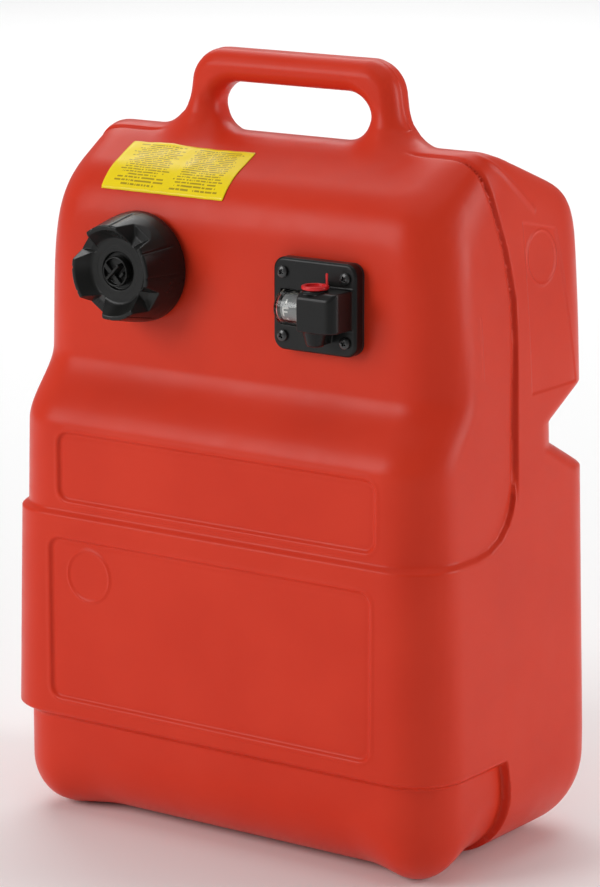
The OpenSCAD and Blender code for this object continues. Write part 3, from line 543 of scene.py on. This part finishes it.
def tank_form(x, y, z, detail=True):
    ax = np.abs(x)
    foot = FOOT_IN * drop(z - foot_edge(y), FOOT_RAMP)
    belt = BELT_IN * ease((z - belt_edge(y)) / BELT_RAMP + 0.5)
    front = foot + belt + LEDGE_IN * ease((z - LEDGE) / LEDGE_HEIGHT) + FRONT - y
    side = (ax - (HALF_WIDTH - SIDE_DRAFT * np.maximum(z - DRAFT_FROM, 0)) + foot
            + belt * drop(y - parting(z), PARTING_RAMP))
    notch = 1 - np.clip((np.abs(z - NOTCH) - NOTCH_FLAT) / NOTCH_RAMP, 0, 1)
    f = np.maximum(rmax(front, side, FRONT_CORNER),
                   rmax(y - REAR + NOTCH_IN * notch, side, REAR_CORNER))

    def shoulder(u, degrees):
        a = math.radians(degrees)
        return u * math.cos(a) + (z - TOP) * math.sin(a)

    top = smax(shoulder(FRONT_SLOPE_Y - y, FRONT_SLOPE), shoulder(y - REAR_SLOPE_Y, REAR_SLOPE),
               RIDGE_BLEND)
    top = smax(top, z - TOP, TOP_BLEND)
    blend = SIDE_BLEND + SIDE_BLEND_FRONT * (1 - ease((y + 70) / 90))
    top = smax(top, shoulder(ax - SIDE_SLOPE_X, SIDE_SLOPE), blend)
    f = smax(f, top, SHOULDER_BLEND)
    less = BOTTOM_EDGE_LESS * ease((ax - 100) / 50) * (1 - ease((y + 70) / 50))
    f = rmax(f, -z, BOTTOM_EDGE - less)
    f = smin(f, handle_form(ax, y, z), HANDLE_BLEND)
    if detail:
        f = f - tank_features(x, y, z)[0]
    for (cx, cz), r in BORES:
        f = np.maximum(f, -np.maximum(np.hypot(x - cx, z - cz) - r, y - BORE_END))
    return f


def plain_tank(x, y, z):
    return tank_form(x, y, z, detail=False)


def build_tank():
    """Meshes the plain form, then splits the quads twice near the detail and moves them onto it."""
    step, limits = 3.0, (5.5, 2.3)
    points, quads = surface(plain_tank, (-182, -110, -6), (182, 110, 521), step)
    faces = [tuple(q) for q in quads.tolist()]
    for limit in limits:
        x, y, z = points.T
        near = tank_features(x, y, z)[1]
        steps = np.minimum(np.abs(z - belt_edge(y)), np.abs(z - foot_edge(y))) + 1
        near = np.minimum(near, np.where((y < 6) & (z < 275), steps, FAR))
        points, faces = refine(points, faces, near, limit)
        points = settle(points, tank_form)
    make("tank_body", points, faces, RED, "tank", ["tank_shell"])


build_tank()

# ---- cap -----------------------------------------------------------------------------------------

CAP_LOW, CAP_HIGH = 3.0, 37.0        # outwards from the face
SKIRT = ([3, 8, 15, 23, 33, 37], [36.0, 35.9, 35.0, 33.4, 31.4, 30.6])     # outwards, radius
CLAWS = 4
CLAW_TURN = 90                       # degrees from one claw to the next
CREASE_TURN = 16.5
CREASES = ((15, 0.75), (45, 0.6))    # angle in degrees from the turn's start, and width
CREASE_DEPTH, CREASE_FROM, CREASE_RAMP = 0.75, 9.0, 6.0
DEGREE = 0.6                         # length of one degree on the skirt
DISH_R, DISH_R_AT, DISH_FLARE, DISH_FLOOR = 21.6, 28.0, 0.71, 27.8
DISH_SCALE = 0.81                    # makes the dish's cone a distance
DISH_RING, DISH_RING_AT, DISH_RING_R = 16.2, 27.6, 0.4
GAP_TURN = 56                        # degrees to the first gap's middle
GAP_FLOOR, GAP_FLOOR_FALL, GAP_FLOOR_FROM, GAP_FLOOR_LEAST = 27.9, 0.5, 20.5, 25.0
GAP_END, GAP_END_FALL = 32.2, 2.6
# the gap's two sides: offset, and slopes along, across and outwards
GAP_SIDES = ((17.8, 0.496, 0.810, 0.314), (22.2, 0.561, -0.723, 0.402))
WELL_R, WELL_FLOOR = 12.4, 25.0      # the vent knob stands in it
CORE_R, CORE_TOP, STEM_R, STEM_TOP = 31.05, 23.5, 3.08, 25.4


def cap_frame(x, y, z):
    """Sideways, upwards and outwards from the filler's axis."""
    return x - FILLER[0], z - FILLER[1], FACE_Y - y


def grip_form(x, y, z):
    """The cap's skirt and claws around an open dish."""
    u, v, w = cap_frame(x, y, z)
    r = np.hypot(u, v)
    # two creases run down the skirt from each claw
    turn = np.mod(np.degrees(np.arctan2(v, u)) + CREASE_TURN, CLAW_TURN)
    crease = sum(ridge((turn - angle) * DEGREE, width) for angle, width in CREASES)
    skirt = np.interp(w, *SKIRT) - CREASE_DEPTH * crease * ease((w - CREASE_FROM) / CREASE_RAMP)
    f = rmax(rmax(r - skirt, w - CAP_HIGH, 0.9), CAP_LOW - w, 0.8)
    dish = rmax((r - DISH_R - DISH_FLARE * (w - DISH_R_AT)) * DISH_SCALE, DISH_FLOOR - w, 1.2)
    f = rmax(f, -dish, 0.5)
    f = np.minimum(f, np.hypot(r - DISH_RING, w - DISH_RING_AT) - DISH_RING_R)
    # gaps between the claws: two slanted sides and a floor that falls outwards
    for k in range(CLAWS):
        a = math.radians(GAP_TURN + CLAW_TURN * k)
        along = u * math.cos(a) + v * math.sin(a)
        across = v * math.cos(a) - u * math.sin(a)
        floor = GAP_FLOOR - GAP_FLOOR_FALL * np.maximum(along - GAP_FLOOR_FROM, 0)
        floor = np.minimum(np.maximum(floor, GAP_FLOOR_LEAST),
                           GAP_FLOOR_LEAST - GAP_END_FALL * (along - GAP_END))
        gap = (floor - w) * 0.85
        for offset, p, q, s in GAP_SIDES:
            gap = rmax(gap, offset - p * along - q * across - s * w, 0.3)
        f = rmax(f, -gap, 0.3)
    f = rmax(f, -np.maximum(r - WELL_R, WELL_FLOOR - w), 0.4)
    core = np.maximum(np.where(w < CORE_TOP, r - CORE_R, r - STEM_R), w - STEM_TOP)
    return np.maximum(f, -core)


def knob_form(x, y, z):
    """The vent knob: a rim, on its floor a bar, a cross-piece and a block, and the stem below."""
    knob_r, rim_r, knob_low, rim_top, floor = 9.8, 8.6, 26.6, 31.2, 28.4
    bar_half, bar_reach, bar_draft, bar_top = 0.9, 7.0, 0.12, 34.2
    cross_at, cross_half, cross_reach, cross_top = -2.6, 1.5, 8.8, 31.6
    block_s, block_n, block_half_s, block_half_n, block_top = 3.2, -5.2, 1.9, 1.0, 32.2
    stem_r, stem_low, stem_top = 3.0, 21.2, 28.0
    edge = 0.3
    u, v, w = cap_frame(x, y, z)
    r = np.hypot(u, v)
    f = rmax(rmax(r - knob_r, w - rim_top, 0.6), knob_low - w, 0.5)
    f = rmax(f, -rmax(r - rim_r, floor - w, 0.6), edge)
    s, n = (u + v) * SIN_45, (v - u) * SIN_45
    bar = rmax(np.abs(n) - bar_half - bar_draft * (bar_top - w), np.abs(s) - bar_reach, edge)
    bar = rmax(bar, w - bar_top, edge)
    cross = rmax(np.abs(s - cross_at) - cross_half, np.abs(n) - cross_reach, edge)
    cross = rmax(cross, w - cross_top, edge)
    block = rmax(np.abs(n - block_n) - block_half_n, np.abs(s - block_s) - block_half_s, edge)
    block = rmax(block, w - block_top, edge)
    on_floor = np.maximum(np.minimum(np.minimum(bar, cross), block), 27.5 - w)
    stem = np.maximum(r - stem_r, np.maximum(stem_low - w, w - stem_top))
    return np.minimum(np.minimum(f, on_floor), stem)


def around(axis, half_u, half_v, low, high):
    """Corners of a box around an axis on the front, from low to high outwards from the face."""
    cx, cz = axis
    return (cx - half_u, FACE_Y - high, cz - half_v), (cx + half_u, FACE_Y - low, cz + half_v)


points, faces = surface(grip_form, *around(FILLER, 38, 38, 1.5, 38.5), 0.6)
make("cap_claws", points, faces, BLACK, "cap", ["cap_grip"])
points, faces = surface(knob_form, *around(FILLER, 11, 11, 20, 36.5), 0.3)
make("vent_turner", points, faces, BLACK, "vent", ["vent_knob"])

# ---- gauge and outlet ----------------------------------------------------------------------------

OUTLET_U, OUTLET_W = 10.0, 23.0      # the outlet's upright axis: sideways and outwards
SCREW_U, SCREW_V = 23.75, 20.25
SCREW_TURN = 0.5                     # of the cross slots, in radians
LENS_V, LENS_W = -2.0, 9.0           # the lens's level axis
PLUG_AT = (82.0, -98.0, 382.0)
PLUG_TURN = math.radians(25)         # of the pull tab


def gauge_frame(x, y, z):
    """Sideways, upwards and outwards from the flange's middle."""
    return x - GAUGE[0], z - GAUGE[1], FACE_Y - y


def housing_form(x, y, z):
    """Flange plate, the outlet's block on it, the tapered foot with its web, and the collar."""
    half_u, half_v, corner, under, face = 31.5, 29.5, 8.0, 2.0, 10.0            # plate
    low, high, left, right, out, chamfer = -11.7, 13.3, 1.5, 29.0, 32.0, 4.2    # block
    foot_end, foot_w, web_out = -21.6, 22.6, 22.0
    collar_r, collar_top, bore_r, bore_end = 8.0, 14.1, 5.0, -16.0
    window_u, window_half = -13.25, (12.25, 11.3)
    pocket_u, pocket_half, pocket_out = 5.0, (7.5, 7.6), 16.5
    u, v, w = gauge_frame(x, y, z)
    f = rmax(rmax(rounded_rect(u, v, half_u, half_v, corner), w - face, 2.2), under - w, 0.4)
    block = rmax(np.maximum(low - v, v - high), left - u, 1.2)
    block = rmax(block, rmax(u - right, w - out, 7.5), 1.0)
    block = rmax(block, (v - high + w - out + chamfer) * SIN_45, 1.2)
    block = rmax(block, w - out, 1.0)
    f = smin(f, np.maximum(block, 5 - w), 1.6)
    taper = np.interp(v, [-22, -11], [5.4, 8.6])
    web = np.abs(u - OUTLET_U) - 0.35 * taper - 0.03 * w * w / web_out * taper
    foot = np.minimum(np.hypot(u - OUTLET_U, w - foot_w) - taper, np.where(w < web_out, web, FAR))
    foot = rmax(foot, np.maximum(v + 10, foot_end - v), 1.5)
    f = smin(f, np.maximum(foot, 8 - w), 1.2)
    from_outlet = np.hypot(u - OUTLET_U, w - OUTLET_W)
    collar = rmax(from_outlet - collar_r, v - collar_top, 0.4)
    f = np.minimum(f, np.maximum(collar, 12 - v))
    bore = np.maximum(from_outlet - bore_r, bore_end - v)
    window = np.maximum(np.abs(u - window_u) - window_half[0], np.abs(v - LENS_V) - window_half[1])
    pocket = np.maximum(np.abs(u - pocket_u) - pocket_half[0], np.abs(v - LENS_V) - pocket_half[1])
    for hole in (bore, window, np.maximum(pocket, w - pocket_out)):
        f = rmax(f, -hole, 0.25)
    return f


def screw_form(x, y, z):
    """Four domed heads with cross slots, and their shanks."""
    head_r, head_low, head_top, dome_r, dome_w = 3.75, 10.02, 12.6, 6.95, 5.8
    slot_half, slot_reach, slot_floor = 0.55, 2.3, 11.1
    shank_r, shank_low, shank_top = 2.0, -8.0, 11.0
    u, v, w = gauge_frame(x, y, z)
    us, vs = np.abs(u) - SCREW_U, np.abs(v) - SCREW_V
    r = np.hypot(us, vs)
    head = rmax(rmax(r - head_r, w - head_top, 1.3), head_low - w, 0.2)
    head = np.maximum(head, np.hypot(r, w - dome_w) - dome_r)
    c, s = math.cos(SCREW_TURN), math.sin(SCREW_TURN)
    p, q = np.abs(us * c + vs * s), np.abs(vs * c - us * s)
    depth = slot_floor - w
    slot = np.minimum(np.maximum(p - slot_half, q - slot_reach - 0.5 * depth),
                      np.maximum(q - slot_half, p - slot_reach - 0.5 * depth))
    head = rmax(head, -np.maximum(slot, depth), 0.15)
    return np.minimum(head, np.maximum(r - shank_r, np.maximum(shank_low - w, w - shank_top)))


def lens_form(x, y, z):
    """Half barrel on a level axis, open to the rear and at its right end, with a nib on top."""
    lens_r, wall, left, right, rear, corner = 11.0, 1.6, -25.2, -1.2, 3.2, 2.6
    nib_u, nib_q, nib_w, nib_r = -21.2, 10.4, 12.2, 1.5
    u, v, w = gauge_frame(x, y, z)
    q = v - LENS_V

    def barrel(r, from_u, to_u, soft):
        side = np.where(w > LENS_W, np.hypot(q, w - LENS_W), np.abs(q)) - r
        return np.maximum(rmax(side, from_u - u, soft), u - to_u)

    outer = rmax(barrel(lens_r, left, right, corner), rear - w, 0.3)
    inner = np.maximum(barrel(lens_r - wall, left + wall, 5.0, corner - 1.0), -1 - w)
    f = rmax(outer, -inner, 0.2)
    nib = np.sqrt((u - nib_u) ** 2 + (q - nib_q) ** 2 + (w - nib_w) ** 2) - nib_r
    return smin(f, nib, 0.8)


def plug_form(x, y, z):
    """Ring with an upright tab on its edge, and the stopper below it."""
    ring_r, hole_r, ring_low, ring_top, ring_floor = 8.6, 6.0, 0.3, 2.6, 1.2
    tab_at, tab_half, tab_top = 7.3, 0.7, 10.2
    stopper_r, stopper_end = 4.95, -10.0
    u, w, q = x - PLUG_AT[0], y - PLUG_AT[1], z - PLUG_AT[2]
    r = np.hypot(u, w)
    f = rmax(rmax(r - ring_r, q - ring_top, 0.7), ring_low - q, 0.4)
    f = rmax(f, -np.maximum(r - hole_r, ring_floor - q), 0.3)
    c, s = math.cos(PLUG_TURN), math.sin(PLUG_TURN)
    along, across = u * c + w * s, w * c - u * s
    tab = rmax(np.abs(along - tab_at) - tab_half, np.abs(across) - tab_half, 0.3)
    tab = rmax(tab, q - tab_top, 0.3)
    f = np.minimum(f, np.maximum(tab, 1 - q))
    return np.minimum(f, np.maximum(rmax(r - stopper_r, stopper_end - q, 0.6), q - 1))


points, faces = surface(housing_form, *around(GAUGE, 33, 31, 1, 33.5), 0.5)
make("gauge_body", points, faces, BLACK, "tank", ["gauge_housing"])
points, faces = surface(screw_form, *around(GAUGE, 28.5, 25, -9, 13.5), 0.3)
make("gauge_screws", points, faces, BLACK_STEEL, "tank", ["flange_screws"])
points, faces = surface(lens_form, (GAUGE[0] - 26.5, FACE_Y - 21, GAUGE[1] - 14.5),
                        (GAUGE[0], FACE_Y - 2, GAUGE[1] + 12), 0.3)
make("gauge_window", points, faces, CLEAR, "tank", ["gauge_lens"])
points, faces = surface(plug_form, (71, -109, 371), (93, -87, 394), 0.3)
make("plug_ring", points, faces, PLUG, "plug", ["outlet_plug"])


def build_drum_marks():
    """Raised white marks on the drum: a dash and F at rest, and a dash and E further round."""
    middle_x, axis_y, axis_z = 55.6, -84.0, 365.7
    top_r, low_r, arc_r = 8.42, 8.2, 8.3       # the marks' tops, feet and measured radius
    step = 0.4
    # each stroke: middle sideways and round the drum, size sideways and round it
    dash, stem = (-0.2, 5.0, 1.1, 2.8), (-1.9, -1.6, 1.1, 6.0)
    upper, middle, lower = (0.3, 0.85, 4.0, 1.1), (0.0, -1.5, 3.0, 1.1), (0.3, -4.05, 4.0, 1.1)
    long_dash = (0.0, -8.0, 1.2, 4.0)
    full = [dash, stem, upper, middle, long_dash]
    empty = full + [lower]
    verts, quads = [], []
    for base, marks in ((0.0, full), (-100.0, empty)):
        for cx, ca, width, height in marks:
            n = max(2, int(height / step))
            start = len(verts)
            for r in (top_r, low_r):
                for i in range(n + 1):
                    a = math.radians(base) + (ca + height * (i / n - 0.5)) / arc_r
                    for side in (-0.5, 0.5):
                        verts.append((middle_x + cx + side * width,
                                      axis_y - r * math.cos(a), axis_z + r * math.sin(a)))
            m = 2 * (n + 1)
            low = start + m
            loop = [(2 * i, 2 * i + 1, 2 * i + 3, 2 * i + 2) for i in range(n)]
            quads += [tuple(start + v for v in q) for q in loop]
            quads += [tuple(low + v for v in q[::-1]) for q in loop]
            edge = [2 * i for i in range(n + 1)] + [2 * i + 1 for i in range(n, -1, -1)]
            for a, b in zip(edge, edge[1:] + edge[:1]):
                quads.append((start + a, start + b, low + b, low + a))
    make("drum_marks", verts, quads, MARK, "drum", smooth=False)


build_drum_marks()

# ---- label ---------------------------------------------------------------------------------------

FILM_LEFT, FILM_LENGTH, FILM_REAR, FILM_DEPTH = -108.5, 98.5, -33.3, 36.0
FILM_THICK = 0.3


def build_label():
    """Yellow film that lies on the front shoulder, with slight waves and a thickness of its own."""
    columns, rows = 80, 34
    s, t = np.meshgrid(np.linspace(0, 1, columns + 1), np.linspace(0, 1, rows + 1), indexing="ij")
    s, t = s.ravel(), t.ravel()
    # corners are slightly rounded, and the rear edge wanders a little
    x = FILM_LEFT + FILM_LENGTH * s
    y = FILM_REAR - FILM_DEPTH * t + 0.5 * np.sin(7 * s) * (1 - t)
    pinch = 1 - 0.012 * (np.clip(np.abs(2 * t - 1) - 0.9, 0, 1) * 10) ** 3
    middle = FILM_LEFT + FILM_LENGTH / 2
    x = middle + (x - middle) * pinch
    # height of the tank's surface, by halving
    low, high = np.full_like(x, 400.0), np.full_like(x, 500.0)
    halvings = 22
    for _ in range(halvings):
        mid = (low + high) / 2
        inside = tank_form(x, y, mid) < 0
        low, high = np.where(inside, mid, low), np.where(inside, high, mid)
    base = np.stack([x, y, low], axis=1)
    out = slope(tank_form, x, y, low, 0.5)
    out /= np.linalg.norm(out, axis=1)[:, None]
    wave = 0.18 + 0.16 * np.sin(19 * s + 5 * t) * np.sin(9 * t - 4 * s) + 0.1 * np.sin(43 * s)
    wave = 0.12 + np.maximum(wave, 0)
    upper, under = base + out * (wave + FILM_THICK)[:, None], base + out * wave[:, None]

    def at(i, j):
        return i * (rows + 1) + j

    m = len(upper)
    faces = [(at(i, j), at(i, j + 1), at(i + 1, j + 1), at(i + 1, j))
             for i in range(columns) for j in range(rows)]
    faces += [tuple(m + v for v in q[::-1]) for q in faces]
    rim = [at(i, 0) for i in range(columns)] + [at(columns, j) for j in range(rows)]
    rim += [at(i, rows) for i in range(columns, 0, -1)] + [at(0, j) for j in range(rows, 0, -1)]
    faces += [(a, b, m + b, m + a) for a, b in zip(rim, rim[1:] + rim[:1])]
    piece = make("label", np.concatenate([upper, under]), faces, LABEL, "tank",
                 ["label_film"])
    layer = piece.data.uv_layers.new(name="UVMap")
    uv = np.stack([s, 1 - t], axis=1)
    corners = np.empty(len(piece.data.loops), dtype=np.int64)
    piece.data.loops.foreach_get("vertex_index", corners)
    layer.data.foreach_set("uv", uv[corners % m].astype(np.float32).ravel())


build_label()

# ---- floor and light -----------------------------------------------------------------------------

# name, place, aim and size in metres, and watts
LIGHTS = (
    ("key", (-1.6, -2.7, 1.6), (0, 0, 0.25), (1.8, 1.8), 54),
    ("side", (2.2, 1.3, 0.9), (0, 0, 0.22), (0.9, 1.6), 27),
    ("top", (-0.1, 0.0, 2.6), (0, 0, 0.4), (2.4, 2.4), 13),
    ("back", (-1.2, 1.7, 2.6), (-1.4, 1.9, 0.0), (2.6, 2.0), 26),
    ("far_back", (-2.7, 3.8, 3.2), (-2.9, 4.0, 0.0), (4.5, 3.0), 110),
)
WORLD_STRENGTH = 0.26


def build_floor(half):
    """Plain pale floor, wide enough to fill the picture. Half its width is in metres."""
    mesh = bpy.data.meshes.new("floor")
    corners = [(-half, -half, 0), (half, -half, 0), (half, half, 0), (-half, half, 0)]
    mesh.from_pydata(corners, [], [(0, 1, 2, 3)])
    mesh.materials.append(material("floor", (0.95, 0.95, 0.95), 0.8, Specular_IOR_Level=0.2)[0])
    floor = bpy.data.objects.new("floor", mesh)
    bpy.context.collection.objects.link(floor)


def softbox(name, place, aim, size, watts):
    data = bpy.data.lights.new(name, "AREA")
    data.shape = "RECTANGLE"
    data.size, data.size_y = size
    data.energy = watts
    light = bpy.data.objects.new(name, data)
    light.location = place
    light.rotation_euler = (Vector(place) - Vector(aim)).to_track_quat("Z", "Y").to_euler()
    bpy.context.collection.objects.link(light)


build_floor(9.0)
for light in LIGHTS:
    softbox(*light)

world = bpy.data.worlds.new("studio")
world.use_nodes = True
world.node_tree.nodes["Background"].inputs["Color"].default_value = (1, 1, 1, 1)
world.node_tree.nodes["Background"].inputs["Strength"].default_value = WORLD_STRENGTH
bpy.context.scene.world = world
bpy.context.scene.view_settings.view_transform = "Standard"
